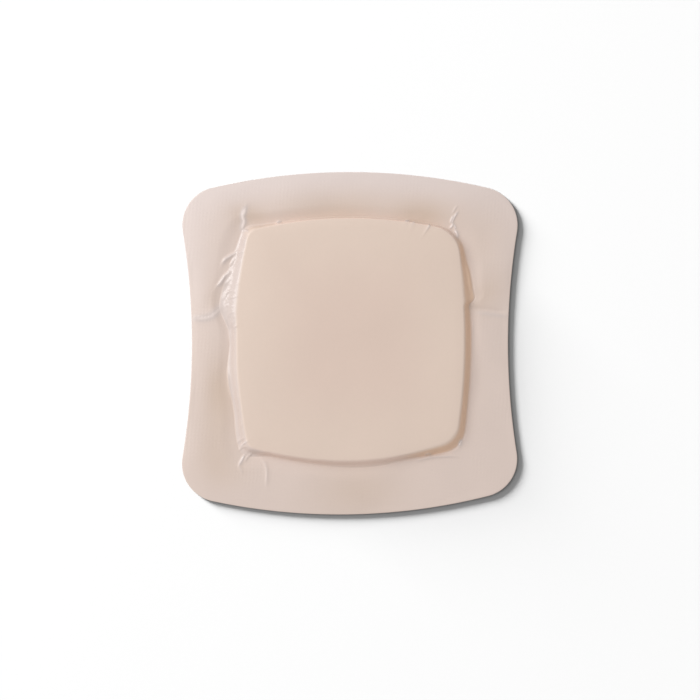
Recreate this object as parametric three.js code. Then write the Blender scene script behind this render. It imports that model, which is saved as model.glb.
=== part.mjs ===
// Bordered foam dressing, lying skin side down. An absorbent foam pad sits under one thin backing
// sheet, and both are bonded to an adhesive layer that reaches the rim and is perforated under the pad.
// Millimetres, +Z up from the skin side, +Y towards the slightly narrower end of the raised face.
import * as THREE from "three";

// Outline of the whole dressing: bowed ends, waisted sides, large round corners
const outerWidth = 140;
const outerLength = 143;
const waistPinch = 4;
const endArcRadius = 254;
const outerCornerRadius = 16;

// Outline of the raised face: a barrel with four bowed sides and four different corners
const faceWidth = 95;
const faceLength = 101.4;
const faceShift = 1.6;
const faceRightRadius = 300;
const faceTopRadius = 175;
const faceLeftRadius = 230;
const faceBottomRadius = 140;
const cornerTopRight = 9;
const cornerTopLeft = 5;
const cornerBottomLeft = 4;
const cornerBottomRight = 11;

// Layers, from the skin side up
const adhesiveThickness = 0.4;
const padThickness = 3.6;
const padCrown = 0.4;
const laminateGap = 0.3;
const backingThickness = 0.5;

// Edge of the pad, and how far it stays inside the edge of the raised face
const padInset = 0.9;
const padEdgeWidth = 1.6;
const padEdgeDrop = 1.5;

// Backing over the pad's edge: where it starts to turn down, and how it stands off the wall
const faceRounding = 1.3;
const wallLean = 0.3;

// Border of the backing: low at the foot of the wall, a soft crown, a thin rim
const footHeight = 0.75;
const crownHeight = 1.5;
const crownPlace = 0.6;
const rimHeight = 0.6;
const rimRounding = 0.35;
const crownWave = 0.14;

// Perforations of the adhesive layer under the pad
const holeDiameter = 3;
const holePitch = 9.8;
const holeMargin = 4;
const arcSteps = 4;

// How far the backing runs out from the raised face before it meets the border: [angle, distance].
// The film is gathered at the upper left, and pulled to a point at the right.
const skirtReach = [
  [0, 3.3], [13, 3.3], [17.5, 6.3], [22, 4.4], [28, 3.0], [38, 1.8], [45, 1.2], [90, 1.1],
  [120, 1.4], [132, 2.6], [140, 4.6], [150, 7.4], [163, 7.6], [169, 6.0], [175, 3.6], [190, 3.4],
  [206, 4.2], [218, 2.8], [227, 2.6], [240, 2.0], [270, 2.7], [300, 2.8], [315, 3.6], [335, 3.3],
  [360, 3.3],
];

// Folds and puckers of the backing. Each runs through a few places given as [angle, place], where
// place goes from 0 at the raised face to 1 at the foot of the wall and 2 at the rim.
const folds = [
  { through: [[127.6, 1.46], [130.9, 1.16], [135, 0.6]], height: 0.75, width: 1.1 },
  { through: [[141.5, 1.08], [138.5, 0.7]], height: 0.4, width: 1.0 },
  { through: [[150, 1.1], [146, 0.9], [142.6, 0.5]], height: 0.7, width: 1.1 },
  { through: [[158.4, 1.16], [154.4, 0.9], [149.4, 0.4]], height: 0.75, width: 1.1 },
  { through: [[162.7, 0.85], [158.6, 0.5], [155.3, 0.2]], height: 0.45, width: 1.0 },
  { through: [[166.2, 0.8], [163.2, 0.42], [161, 0.1]], height: 0.45, width: 1.0 },
  { through: [[171.5, 1.96], [171.7, 1.53], [167.9, 1.05], [164.1, 0.7]], height: 0.5, width: 1.3 },
  { through: [[195.8, 1.02], [205.4, 0.63], [216.2, 0.8], [221.9, 1.0]], height: 0.35, width: 1.0 },
  { through: [[224.4, 1.2], [226, 0.5]], height: 0.4, width: 0.9 },
  { through: [[226.8, 1.3], [228.2, 0.8]], height: 0.5, width: 0.9 },
  { through: [[229.8, 1.36], [229.2, 1.0]], height: 0.4, width: 0.9 },
  { through: [[234.7, 1.05], [240.7, 1.6], [243, 1.76]], height: 0.35, width: 1.2 },
  { through: [[14.6, 0.9], [13.4, 1.15], [9.2, 1.96]], height: -0.3, width: 1.2 },
  { through: [[11.2, 1.15], [7, 1.96]], height: 0.3, width: 1.8 },
  { through: [[52.6, 1.25], [48.2, 0.7]], height: 0.4, width: 0.9 },
  { through: [[50.2, 1.25], [46.4, 0.5]], height: 0.45, width: 0.9 },
  { through: [[46.9, 1.18], [44.6, 0.2]], height: 0.35, width: 0.9 },
];

// Columns round the sheet, and where they stand closer together: [angle, half width, crowding]
const backingColumns = 156;
const padColumns = 72;
const crowdedPlaces = [[148, 24, 2.4], [14, 9, 2.2], [47, 9, 2.4], [230, 13, 2.2], [316, 10, 0.8]];

// Rows of the backing: shares of the face, steps down the wall, and shares of the border
const faceRows = [0.45, 0.8];
const wallSteps = 5;
const borderRows = [0.07, 0.16, 0.28, 0.42, 0.58, 0.74, 0.88];
const undersideSteps = 3;
const padFaceRows = [0.6];
const padEdgeSteps = 3;

// Heights that follow from the layers
const padTop = adhesiveThickness + padThickness;
const faceEdgeHeight = padTop + laminateGap + backingThickness;
const footLevel = adhesiveThickness + footHeight;
const faceCentre = new THREE.Vector2(0, faceShift);
const radians = THREE.MathUtils.degToRad;

// The point where two circles cross that lies nearest to a given one
function crossing(first, firstRadius, second, secondRadius, near) {
  const gap = first.distanceTo(second);
  const along = (firstRadius ** 2 - secondRadius ** 2 + gap ** 2) / (2 * gap);
  const across = Math.sqrt(Math.max(0, firstRadius ** 2 - along ** 2));
  const direction = second.clone().sub(first).divideScalar(gap);
  const foot = first.clone().addScaledVector(direction, along);
  const normal = new THREE.Vector2(-direction.y, direction.x);
  const left = foot.clone().addScaledVector(normal, across);
  const right = foot.clone().addScaledVector(normal, -across);
  return left.distanceTo(near) < right.distanceTo(near) ? left : right;
}

// A closed outline of four long arcs joined by round corners. Sides and corners run
// anticlockwise from the right side; a hollow side has its centre outside the outline.
function arcOutline(sides, corners) {
  const centres = sides.map((side, i) => {
    const next = sides[(i + 1) % 4];
    const reach = (s) => (s.hollow ? s.radius + corners[i].radius : s.radius - corners[i].radius);
    return crossing(side.centre, reach(side), next.centre, reach(next), corners[i].near);
  });
  const heading = (from, to) => Math.atan2(to.y - from.y, to.x - from.x);
  const path = new THREE.Shape();
  sides.forEach((side, i) => {
    const next = sides[(i + 1) % 4];
    const { x, y } = side.centre;
    const start = heading(side.centre, centres[(i + 3) % 4]);
    const end = heading(side.centre, centres[i]);
    path.absarc(x, y, side.radius, start, end, side.hollow);
    const turn = side.hollow ? heading(centres[i], side.centre) : end;
    const stop = next.hollow ? heading(centres[i], next.centre) : heading(next.centre, centres[i]);
    path.absarc(centres[i].x, centres[i].y, corners[i].radius, turn, stop, false);
  });
  return path;
}

// Outline of the rim
function rimOutline() {
  const halfWidth = outerWidth / 2;
  const halfLength = outerLength / 2;
  const r = outerCornerRadius;
  const cornerX = halfWidth - r;
  const cornerY = halfLength - endArcRadius + Math.sqrt((endArcRadius - r) ** 2 - cornerX ** 2);
  const sideRadius = ((r - waistPinch) ** 2 + cornerY ** 2 - r ** 2) / (2 * waistPinch);
  const sideCentre = halfWidth - waistPinch + sideRadius;
  const endCentre = halfLength - endArcRadius;
  const sides = [
    { centre: new THREE.Vector2(sideCentre, 0), radius: sideRadius, hollow: true },
    { centre: new THREE.Vector2(0, endCentre), radius: endArcRadius, hollow: false },
    { centre: new THREE.Vector2(-sideCentre, 0), radius: sideRadius, hollow: true },
    { centre: new THREE.Vector2(0, -endCentre), radius: endArcRadius, hollow: false },
  ];
  const corners = [[1, 1], [-1, 1], [-1, -1], [1, -1]].map(([x, y]) => (
    { radius: r, near: new THREE.Vector2(x * cornerX, y * cornerY) }
  ));
  return arcOutline(sides, corners);
}

// Outline of the raised face
function faceOutline() {
  const { x, y } = faceCentre;
  const halfWidth = faceWidth / 2;
  const halfLength = faceLength / 2;
  const side = (cx, cy, radius) => ({ centre: new THREE.Vector2(cx, cy), radius, hollow: false });
  const corner = (sx, sy, radius) => (
    { radius, near: new THREE.Vector2(x + sx * halfWidth, y + sy * halfLength) }
  );
  const sides = [
    side(x + halfWidth - faceRightRadius, y, faceRightRadius),
    side(x, y + halfLength - faceTopRadius, faceTopRadius),
    side(x - halfWidth + faceLeftRadius, y, faceLeftRadius),
    side(x, y - halfLength + faceBottomRadius, faceBottomRadius),
  ];
  const corners = [
    corner(1, 1, cornerTopRight),
    corner(-1, 1, cornerTopLeft),
    corner(-1, -1, cornerBottomLeft),
    corner(1, -1, cornerBottomRight),
  ];
  return arcOutline(sides, corners);
}

// Distance from the face's centre to an outline, as a function of the angle in degrees
function polarRadius(path) {
  const samples = path.getPoints(60).map((point) => {
    const arm = point.clone().sub(faceCentre);
    return { angle: (THREE.MathUtils.radToDeg(arm.angle()) + 360) % 360, radius: arm.length() };
  });
  samples.sort((a, b) => a.angle - b.angle);
  const last = samples[samples.length - 1];
  const ring = [
    { ...last, angle: last.angle - 360 },
    ...samples,
    { ...samples[0], angle: samples[0].angle + 360 },
  ];
  return (angle) => {
    const i = ring.findIndex((sample) => sample.angle > angle);
    const share = (angle - ring[i - 1].angle) / (ring[i].angle - ring[i - 1].angle);
    return THREE.MathUtils.lerp(ring[i - 1].radius, ring[i].radius, share);
  };
}

// Smooth run through the hand-set distances of the skirt
function reachAt(angle) {
  const i = Math.max(1, skirtReach.findIndex(([place]) => place > angle));
  const [fromAngle, fromReach] = skirtReach[i - 1];
  const [toAngle, toReach] = skirtReach[i];
  return THREE.MathUtils.lerp(fromReach, toReach, THREE.MathUtils.smoothstep(angle, fromAngle, toAngle));
}

const rim = rimOutline();
const face = faceOutline();
const rimRadius = polarRadius(rim);
const faceRadius = polarRadius(face);

// A point in plan: angle in degrees, distance from the face's centre
function inPlan(angle, radius) {
  return new THREE.Vector2(Math.cos(radians(angle)), Math.sin(radians(angle)))
    .multiplyScalar(radius).add(faceCentre);
}

// Plan position of a place on the sheet: 0 face edge, 1 foot of the wall, 2 rim
function placeInPlan([angle, place]) {
  const edge = faceRadius(angle);
  const foot = edge + reachAt(angle);
  const radius = place < 1
    ? THREE.MathUtils.lerp(edge, foot, place)
    : THREE.MathUtils.lerp(foot, rimRadius(angle), place - 1);
  return inPlan(angle, radius);
}

const foldLines = folds.map((fold) => ({ ...fold, points: fold.through.map(placeInPlan) }));

// Height that the folds add at a point in plan: a soft ridge along each line, fading at its ends
function foldHeight(point) {
  let height = 0;
  for (const { points, height: top, width } of foldLines) {
    let nearest = Infinity;
    for (let i = 1; i < points.length; i += 1) {
      const leg = points[i].clone().sub(points[i - 1]);
      const along = point.clone().sub(points[i - 1]).dot(leg) / leg.lengthSq();
      const foot = points[i - 1].clone().addScaledVector(leg, THREE.MathUtils.clamp(along, 0, 1));
      nearest = Math.min(nearest, foot.distanceTo(point));
    }
    height += top * Math.exp(-((nearest / width) ** 2) * 2);
  }
  return height;
}

// Height of the face: highest at its centre, and down to its edge height at the turn
function faceHeight(share) {
  return faceEdgeHeight + padCrown * (1 - share ** 2);
}

// Height of the border above the skin side: foot, soft crown, thin rim
function borderHeight(share, angle) {
  const wave = crownWave * (Math.sin(radians(3 * angle + 40)) + 0.6 * Math.sin(radians(7 * angle)));
  const crown = crownHeight + wave;
  const rising = THREE.MathUtils.smoothstep(share, 0, crownPlace);
  const falling = Math.max(0, (share - crownPlace) / (1 - crownPlace)) ** 2;
  const low = THREE.MathUtils.lerp(footHeight, crown, rising);
  return adhesiveThickness + THREE.MathUtils.lerp(low, rimHeight, falling);
}

// The turn from the face down to the border, as one cubic curve in section
function wallCurve(start, lean, top, end, bottom) {
  return new THREE.CubicBezierCurve(
    new THREE.Vector2(start, top),
    new THREE.Vector2(lean, top),
    new THREE.Vector2(lean, bottom),
    new THREE.Vector2(end, bottom),
  );
}

// One radial section of the backing's upper side, from near the centre to the rim
function upperSection(angle) {
  const edge = faceRadius(angle);
  const foot = edge + reachAt(angle);
  const outer = rimRadius(angle);
  const turn = edge - faceRounding;
  const wall = wallCurve(turn, edge + wallLean, faceEdgeHeight, foot, footLevel);
  const section = faceRows.map((share) => ({ radius: share * turn, height: faceHeight(share) }));
  for (const { x, y } of wall.getPoints(wallSteps)) {
    section.push({ radius: x, height: y });
  }
  for (const share of borderRows) {
    section.push({ radius: THREE.MathUtils.lerp(foot, outer, share), height: borderHeight(share, angle) });
  }
  for (const point of section) {
    point.height += foldHeight(inPlan(angle, point.radius));
  }
  const rimTop = adhesiveThickness + rimHeight;
  section.push({ radius: outer - rimRounding, height: rimTop });
  section.push({ radius: outer, height: rimTop - rimRounding });
  return section;
}

// One radial section of the backing's underside, from the rim back to near the centre
function lowerSection(angle) {
  const edge = faceRadius(angle);
  const foot = edge + reachAt(angle) - backingThickness;
  const turn = edge - faceRounding - backingThickness;
  const top = faceEdgeHeight - backingThickness;
  const wall = wallCurve(turn, edge + wallLean - backingThickness, top, foot, adhesiveThickness);
  const section = [{ radius: rimRadius(angle), height: adhesiveThickness }];
  for (const { x, y } of wall.getPoints(undersideSteps).reverse()) {
    section.push({ radius: x, height: y });
  }
  for (const share of [...faceRows].reverse()) {
    section.push({ radius: share * turn, height: faceHeight(share) - backingThickness });
  }
  return section;
}

// One radial section of the pad, from near the centre over its rounded edge to its underside
function padSection(angle) {
  const wall = faceRadius(angle) - padInset;
  const turn = wall - padEdgeWidth;
  const section = padFaceRows.map((share) => (
    { radius: share * turn, height: padTop + padCrown * (1 - share ** 2) }
  ));
  for (let i = 0; i <= padEdgeSteps; i += 1) {
    const swing = (i / padEdgeSteps) * (Math.PI / 2);
    section.push({
      radius: turn + padEdgeWidth * Math.sin(swing),
      height: padTop - padEdgeDrop * (1 - Math.cos(swing)),
    });
  }
  section.push({ radius: wall, height: adhesiveThickness });
  return section;
}

// Angles of the columns, closer together where the sheet is gathered
function columnAngles(count, crowding) {
  const density = (angle) => crowding.reduce((sum, [centre, halfWidth, extra]) => {
    const away = Math.abs(THREE.MathUtils.euclideanModulo(angle - centre + 180, 360) - 180);
    return sum + extra * (1 - THREE.MathUtils.smoothstep(away, halfWidth * 0.8, halfWidth * 1.2));
  }, 1);
  const steps = 3600;
  const total = [0];
  for (let i = 0; i < steps; i += 1) {
    total.push(total[i] + density((i * 360) / steps));
  }
  return Array.from({ length: count }, (_, k) => {
    const wanted = (k / count) * total[steps];
    return (total.findIndex((value) => value > wanted) - 1) * (360 / steps);
  });
}

// A closed body swept round the face's centre from one section for each angle. Each end of the
// section is closed by a fan to a point on the axis.
function sweptBody(angles, sectionAt, topHeight, bottomHeight) {
  const positions = [];
  const indices = [];
  const sections = angles.map(sectionAt);
  const rows = sections[0].length;
  sections.forEach((section, column) => {
    for (const { radius, height } of section) {
      const { x, y } = inPlan(angles[column], radius);
      positions.push(x, y, height);
    }
  });
  const top = positions.length / 3;
  positions.push(faceCentre.x, faceCentre.y, topHeight);
  positions.push(faceCentre.x, faceCentre.y, bottomHeight);
  for (let column = 0; column < angles.length; column += 1) {
    const here = column * rows;
    const next = ((column + 1) % angles.length) * rows;
    indices.push(top, here, next);
    indices.push(top + 1, next + rows - 1, here + rows - 1);
    for (let row = 0; row < rows - 1; row += 1) {
      indices.push(here + row, here + row + 1, next + row);
      indices.push(next + row, here + row + 1, next + row + 1);
    }
  }
  const geometry = new THREE.BufferGeometry();
  geometry.setAttribute("position", new THREE.Float32BufferAttribute(positions, 3));
  geometry.setIndex(indices);
  geometry.computeVertexNormals();
  return geometry;
}

// Thin foam-and-film sheet over everything, folded where it drops from the pad to the border
function backingSheet() {
  const angles = columnAngles(backingColumns, crowdedPlaces);
  const section = (angle) => [...upperSection(angle), ...lowerSection(angle)];
  const top = faceHeight(0);
  return sweptBody(angles, section, top, top - backingThickness);
}

// Absorbent foam: slightly crowned, with a soft upper edge
function foamPad() {
  return sweptBody(columnAngles(padColumns, []), padSection, padTop + padCrown, adhesiveThickness);
}

// Contact layer: the dressing's full outline, with staggered round holes under the pad
function adhesiveLayer() {
  const shape = rim;
  const rowPitch = holePitch * Math.sin(Math.PI / 3);
  const columns = Math.ceil(faceWidth / holePitch);
  const rows = Math.ceil(faceLength / rowPitch);
  for (let row = -rows; row <= rows; row += 1) {
    for (let column = -columns; column <= columns; column += 1) {
      const offset = new THREE.Vector2((column + (row % 2) / 2) * holePitch, row * rowPitch);
      const angle = (THREE.MathUtils.radToDeg(offset.angle()) + 360) % 360;
      if (offset.length() < faceRadius(angle) - holeMargin) {
        const { x, y } = offset.add(faceCentre);
        shape.holes.push(new THREE.Path().absarc(x, y, holeDiameter / 2, 0, 2 * Math.PI, true));
      }
    }
  }
  return new THREE.ExtrudeGeometry(shape, {
    depth: adhesiveThickness,
    bevelEnabled: false,
    curveSegments: arcSteps,
  });
}

function piece(name, geometry, color, roughness) {
  const material = new THREE.MeshStandardMaterial({ color, roughness, metalness: 0 });
  const mesh = new THREE.Mesh(geometry, material);
  mesh.name = name;
  return mesh;
}

const group = new THREE.Group();
group.add(piece("backing_sheet", backingSheet(), 0xdbc6b8, 0.55));
group.add(piece("foam_pad", foamPad(), 0xe8dccf, 0.95));
group.add(piece("adhesive_layer", adhesiveLayer(), 0xeae0d6, 0.4));

export default group;
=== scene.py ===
"""Bordered foam dressing, lying skin side down and seen from straight above.

The dressing is three layers: a perforated contact layer that reaches the rim, an absorbent foam pad,
and one thin backing sheet over both, gathered where it drops from the pad to the border.
"""

import math

import bpy
import numpy as np
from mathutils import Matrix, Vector


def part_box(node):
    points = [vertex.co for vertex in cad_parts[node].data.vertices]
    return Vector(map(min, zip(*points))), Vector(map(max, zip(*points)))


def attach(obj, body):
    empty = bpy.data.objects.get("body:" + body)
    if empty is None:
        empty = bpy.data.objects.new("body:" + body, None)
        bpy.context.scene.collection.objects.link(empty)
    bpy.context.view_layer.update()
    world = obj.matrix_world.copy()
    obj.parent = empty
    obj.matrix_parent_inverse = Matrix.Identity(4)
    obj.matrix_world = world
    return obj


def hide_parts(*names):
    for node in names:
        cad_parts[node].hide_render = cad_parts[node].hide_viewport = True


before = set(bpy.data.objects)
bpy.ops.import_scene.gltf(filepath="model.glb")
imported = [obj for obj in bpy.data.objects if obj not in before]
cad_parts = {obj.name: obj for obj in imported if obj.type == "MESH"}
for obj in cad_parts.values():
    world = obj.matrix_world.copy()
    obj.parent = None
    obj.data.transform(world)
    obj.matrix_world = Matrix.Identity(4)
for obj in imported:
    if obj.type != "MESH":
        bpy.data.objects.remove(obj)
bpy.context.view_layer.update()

bl_info = {
    "name": "Bordered foam dressing",
    "version": (1, 0, 0),
    "blender": (4, 5, 0),
    "location": "3D View > Sidebar > Dressing",
    "description": "Dresses the packed solids of a bordered foam dressing and lights them on a plain stage",
    "category": "Add Mesh",
}

MM = 0.001
RIM_LOW, RIM_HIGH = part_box("adhesive_layer")
_, SHEET_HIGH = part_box("backing_sheet")

# How far the backing runs out from the raised face before it meets the border: angle in degrees,
# distance in millimetres. The film is gathered at the upper left and pulled to a point at the right.
SKIRT_REACH = (
    (0, 2.7), (13, 2.5), (16.2, 2.5), (18.2, 4.6), (22, 4.4), (26, 4.2), (30, 3.9), (34, 3.0), (38, 2.5),
    (42, 2.0), (46, 1.2), (60, 0.6), (116, 0.5), (127, 1.3), (136, 3.3), (149, 5.3), (159, 6.8), (166, 7.2),
    (170, 5.5), (175, 2.8), (183, 2.4), (196, 3.9), (212, 3.1), (221, 4.5), (226, 4.4), (230, 3.8),
    (235, 1.9), (246, 1.7), (270, 2.6), (285, 2.6), (293, 1.8), (301, 2.1), (312, 3.1), (330, 2.7),
)

# Folds of the backing. Each runs through places given as (angle, place): 0 is the edge of the face,
# 1 the foot of the wall, 2 the rim. Then height and width in millimetres, how far the crest leans
# to one side of its run, and how pale the film along it is: 1 where it has lifted, 2 on sharp crests,
# where the share above 1 is a painted glint.
FOLDS = (
    # Long ridge off the upper left corner, and the curl at its foot
    (
        ((127.4, 1.48), (129.4, 1.35), (131.1, 1.23), (132.0, 1.12), (133.8, 1.04), (135.4, 0.86)),
        0.36, 1.35, 0.0, 1.9,
    ),
    (((135.0, 0.88), (133.7, 0.50), (133.6, 0.05)), 0.36, 0.60, 0.2, 1.4),
    # Two folds that run up from the border into the gathered skirt, each with a smaller one below
    (((149.7, 1.16), (147.5, 1.12), (145.6, 1.06), (143.4, 0.94), (141.4, 0.62)), 0.62, 1.05, -0.5, 1.3),
    (((148.5, 1.0), (146.2, 0.86), (143.8, 0.59)), 0.40, 0.65, -0.4, 0.6),
    (((158.5, 1.18), (156.4, 1.10), (153.6, 1.04), (151.2, 0.92), (149.1, 0.72)), 0.62, 1.20, -0.5, 1.3),
    (((156.5, 0.91), (154.1, 0.73), (151.6, 0.55)), 0.30, 0.70, -0.4, 0.6),
    # Curled wrinkles in the film above the crease
    (((162.7, 0.78), (159.9, 0.73), (158.1, 0.54), (157.0, 0.31)), 0.34, 0.55, -0.3, 0.8),
    (((164.1, 0.64), (161.6, 0.51), (159.5, 0.26)), 0.32, 0.55, -0.3, 0.8),
    # Soft crease across the left border, up into the skirt, with a broad hollow above it
    (
        ((172.6, 2.04), (171.7, 1.62), (170.5, 1.38), (168.2, 1.13), (165.9, 0.91), (164.2, 0.66)),
        0.12, 2.2, 0.0, 1.35,
    ),
    (((162.2, 1.37), (166.0, 1.39), (169.2, 1.48)), -0.12, 3.60, 0.0, 0.0),
    # Second edge of the skirt below the crease, and a thin fold lower down
    (((168.8, 0.96), (171.6, 0.88), (176.0, 0.95), (181.2, 0.93)), 0.30, 0.70, 0.2, 0.7),
    (((193.2, 0.96), (197.6, 0.93), (201.9, 0.99), (206.7, 0.98)), 0.36, 0.80, 0.2, 0.2),
    # Puckers round the lower left corner
    (((224.7, -0.08), (224.3, 0.37), (224.5, 0.79)), 0.42, 0.60, 0.3, 1.7),
    (((222.6, 0.90), (222.7, 0.50), (223.2, 0.10)), 0.30, 0.50, 0.3, 0.7),
    (((225.0, 1.01), (225.2, 0.58), (226.1, 0.22)), 0.30, 0.50, 0.3, 0.6),
    (((227.6, 0.90), (227.9, 1.07), (228.6, 1.21)), 0.40, 0.65, 0.3, 1.5),
    (((228.3, 1.18), (229.6, 1.27), (231.5, 1.37)), 0.22, 0.50, 0.3, 0.5),
    (((229.3, 1.12), (229.0, 1.02), (229.3, 0.53)), 0.30, 0.60, 0.2, 0.6),
    (((233.6, 1.06), (236.0, 1.16), (238.1, 1.31), (240.3, 1.55)), 0.28, 0.80, 0.4, 0.5),
    # Hollow and crease across the right border, from the point of the skirt
    (((14.8, 1.04), (12.4, 1.42), (9.9, 1.94)), -0.40, 1.30, 0.0, 0.0),
    (((12.9, 1.06), (10.7, 1.42), (7.9, 2.06)), 0.12, 1.70, 0.0, 0.6),
    # Pleat inside the pointed skirt, and a fine bead along the foot below it
    (((34.1, 0.61), (28.7, 0.70), (21.8, 0.74)), 0.40, 0.70, 0.0, 0.0),
    (((8.2, 1.05), (359.7, 1.02), (352.2, 1.02)), 0.24, 0.45, 0.0, 0.3),
    # Wrinkles off the upper right corner
    (((49.8, 1.38), (49.6, 1.28), (49.1, 1.18), (48.4, 1.10)), 0.38, 0.42, 0.0, 1.8),
    (((50.2, 1.28), (49.7, 1.18), (49.1, 1.11)), 0.30, 0.36, 0.0, 1.6),
    (((48.1, 1.03), (48.0, 1.08), (48.4, 1.15)), 0.38, 0.42, 0.0, 1.8),
    (((47.9, 1.13), (46.1, 1.08)), 0.38, 0.45, 0.0, 1.8),
    (((46.1, 1.06), (44.9, 1.03), (43.3, 0.89)), 0.50, 0.80, 0.0, 1.8),
    (((50.9, 1.31), (51.3, 1.49)), 0.22, 0.42, 0.0, 0.5),
    # Long wrinkle, loop and nick at the foot of the lower right corner
    (((298.9, 1.06), (304.0, 1.04), (309.5, 1.08), (312.5, 1.15)), 0.44, 0.65, 0.2, 0.5),
    (((302.5, 0.81), (304.3, 0.49), (305.1, 0.75), (304.0, 1.02)), 0.46, 0.50, 0.0, 0.6),
    (((315.6, 1.02), (316.9, 1.0), (318.2, 0.96)), 0.60, 0.80, 0.0, 1.9),
    # Small knots along the upper edge of the face
    (((65.1, -0.17), (63.3, 1.0)), 0.44, 0.60, 0.0, 1.3),
    (((62.0, -0.9), (60.9, 0.3)), 0.34, 0.60, 0.0, 0.8),
    (((55.6, 0.4), (55.0, -0.7), (54.6, -1.1)), 0.36, 0.70, 0.0, 0.8),
    (((122.3, 0.36), (120.3, 1.02)), 0.44, 0.75, 0.0, 1.2),
)

# Soft hollows of the border, which are also painted darker as painted shade: angle, place, half width in
# degrees, half width in place, depth share
PRESSED = (
    (203, 1.25, 15, 0.40, 1.0),
    (224, 1.45, 9, 0.35, 0.5),
    (96, 1.05, 24, 0.42, 0.8),
    (60, 1.12, 10, 0.36, 1.0),
    (129, 1.22, 5, 0.25, 0.7),
    (163, 1.22, 7, 0.22, 0.3),
    (273, 1.50, 17, 0.60, 0.6),
    (36, 1.35, 10, 0.40, 0.3),
    (18, 1.35, 7, 0.45, 0.6),
)

# Stretches of the wall: strength, then the angles over which each comes and over which it goes.
# The film has lifted off the foam at the left. The wall gets a painted warm shade at the right and less
# along the bottom, and painted light along the bottom and the top.
LIFTED = (
    (0.9, (130, 138), (166, 186)),
    (0.7, (166, 186), (214, 226)),
    (0.6, (216, 224), (229, 236)),
)
WALL_SHADE = (
    (0.25, (-132, -118), (-75, -50)),
    (1.0, (-75, -50), (38, 46)),
)
WALL_LIGHT = (
    (1.0, (-142, -132), (-72, -56)),
    (0.9, (40, 50), (118, 130)),
)


def smooth(value, low=0.0, high=1.0):
    """Rises from 0 to 1 between low and high, level at both ends."""
    share = np.clip((value - low) / (high - low), 0, 1)
    return share * share * (3 - 2 * share)


def mix(first, second, share):
    return first + (second - first) * share


def within(value, rise, fall):
    """1 between two limits. Each limit gives where the change starts and where it is done."""
    return smooth(value, *rise) * (1 - smooth(value, *fall))


def from_angle(degrees, middle=0.0):
    """Angle from a middle one, between -180 and 180 degrees."""
    return np.mod(degrees - middle + 180, 360) - 180


def about(degrees, middle, half_width, power=2):
    """1 at one angle, falling off to both sides of it."""
    return np.exp(-np.abs(from_angle(degrees, middle) / half_width) ** power)


def stretches(degrees, table):
    return sum(amount * within(degrees, rise, fall) for amount, rise, fall in table)


# Sizes and colours


def length(name, description, default):
    return bpy.props.FloatProperty(
        name=name, description=description, default=default, subtype="DISTANCE", unit="LENGTH"
    )


def colour(name, description, default):
    return bpy.props.FloatVectorProperty(
        name=name, description=description, default=default, size=3, min=0, max=1, subtype="COLOR"
    )


def number(name, description, default):
    return bpy.props.FloatProperty(name=name, description=description, default=default)


class DressingOutline(bpy.types.PropertyGroup):
    """Plan of the dressing: the rim and the raised face."""

    width: length("Width", "Across the round corners", RIM_HIGH.x - RIM_LOW.x)
    height: length("Length", "Between the tops of the bowed ends", RIM_HIGH.y - RIM_LOW.y)
    waist_pinch: length("Waist pinch", "How far each side is drawn in at its middle", 4 * MM)
    end_radius: length("End radius", "Radius of the bowed ends", 254 * MM)
    lower_tilt: number("Lower tilt", "Turn of both lower bows in degrees, down at the left", 1.0)
    corner_radius: length("Corner radius", "Radius of the outer corners", 16 * MM)
    face_width: length("Face width", "Across the raised face", 95.8 * MM)
    face_length: length("Face length", "Along the raised face", 101.4 * MM)
    face_shift: length("Face shift", "How far the face sits above the middle", 1.6 * MM)
    face_radii: bpy.props.FloatVectorProperty(
        name="Face sides", description="Radii of the right, top, left and bottom sides of the face",
        default=(300 * MM, 175 * MM, 190 * MM, 140 * MM), size=4, unit="LENGTH",
    )
    face_corners: bpy.props.FloatVectorProperty(
        name="Face corners", description="Radii of its corners, from the upper right anticlockwise",
        default=(12.5 * MM, 5 * MM, 4 * MM, 10 * MM), size=4, unit="LENGTH",
    )


class DressingSection(bpy.types.PropertyGroup):
    """Section through the layers."""

    adhesive: length("Contact layer", "Thickness of the contact layer", RIM_HIGH.z)
    backing: length("Backing", "Thickness of the backing over the pad", 0.5 * MM)
    bond_gap: length("Bond", "Room between the pad and the backing", 0.3 * MM)
    crown: length("Face crown", "Rise of the face from its upper left edge to its middle", 0.6 * MM)
    rounding: length("Face rounding", "Where the face starts to turn down", 1.0 * MM)
    lean: number("Wall lean", "How far the wall stands off the face, as a share of its reach", 0.34)
    foot: length("Foot", "Height of the border at the foot of the wall", 0.75 * MM)
    swell: length("Swell", "Height of the border's soft crown", 1.2 * MM)
    swell_place: number("Swell place", "Where the crown lies, as a share of the border's width", 0.3)
    groove: length("Groove", "Depth of the groove along the foot of the wall", 0.3 * MM)
    groove_width: length("Groove width", "Width of that groove", 0.9 * MM)
    rim: length("Rim", "Height of the border at the rim", 0.6 * MM)
    rim_rounding: length("Rim rounding", "Radius of the rim's upper edge", 0.35 * MM)
    pad_inset: length("Pad inset", "How far the pad stays inside the edge of the face", 0.9 * MM)
    pad_edge: length("Pad edge", "Radius of the pad's upper edge", 1.5 * MM)


class DressingHoles(bpy.types.PropertyGroup):
    """Perforations of the contact layer."""

    diameter: length("Diameter", "Across one hole", 3 * MM)
    pitch: length("Pitch", "Between neighbouring holes", 9.8 * MM)
    margin: length("Margin", "From the outermost holes to the edge of the face", 4 * MM)


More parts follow.
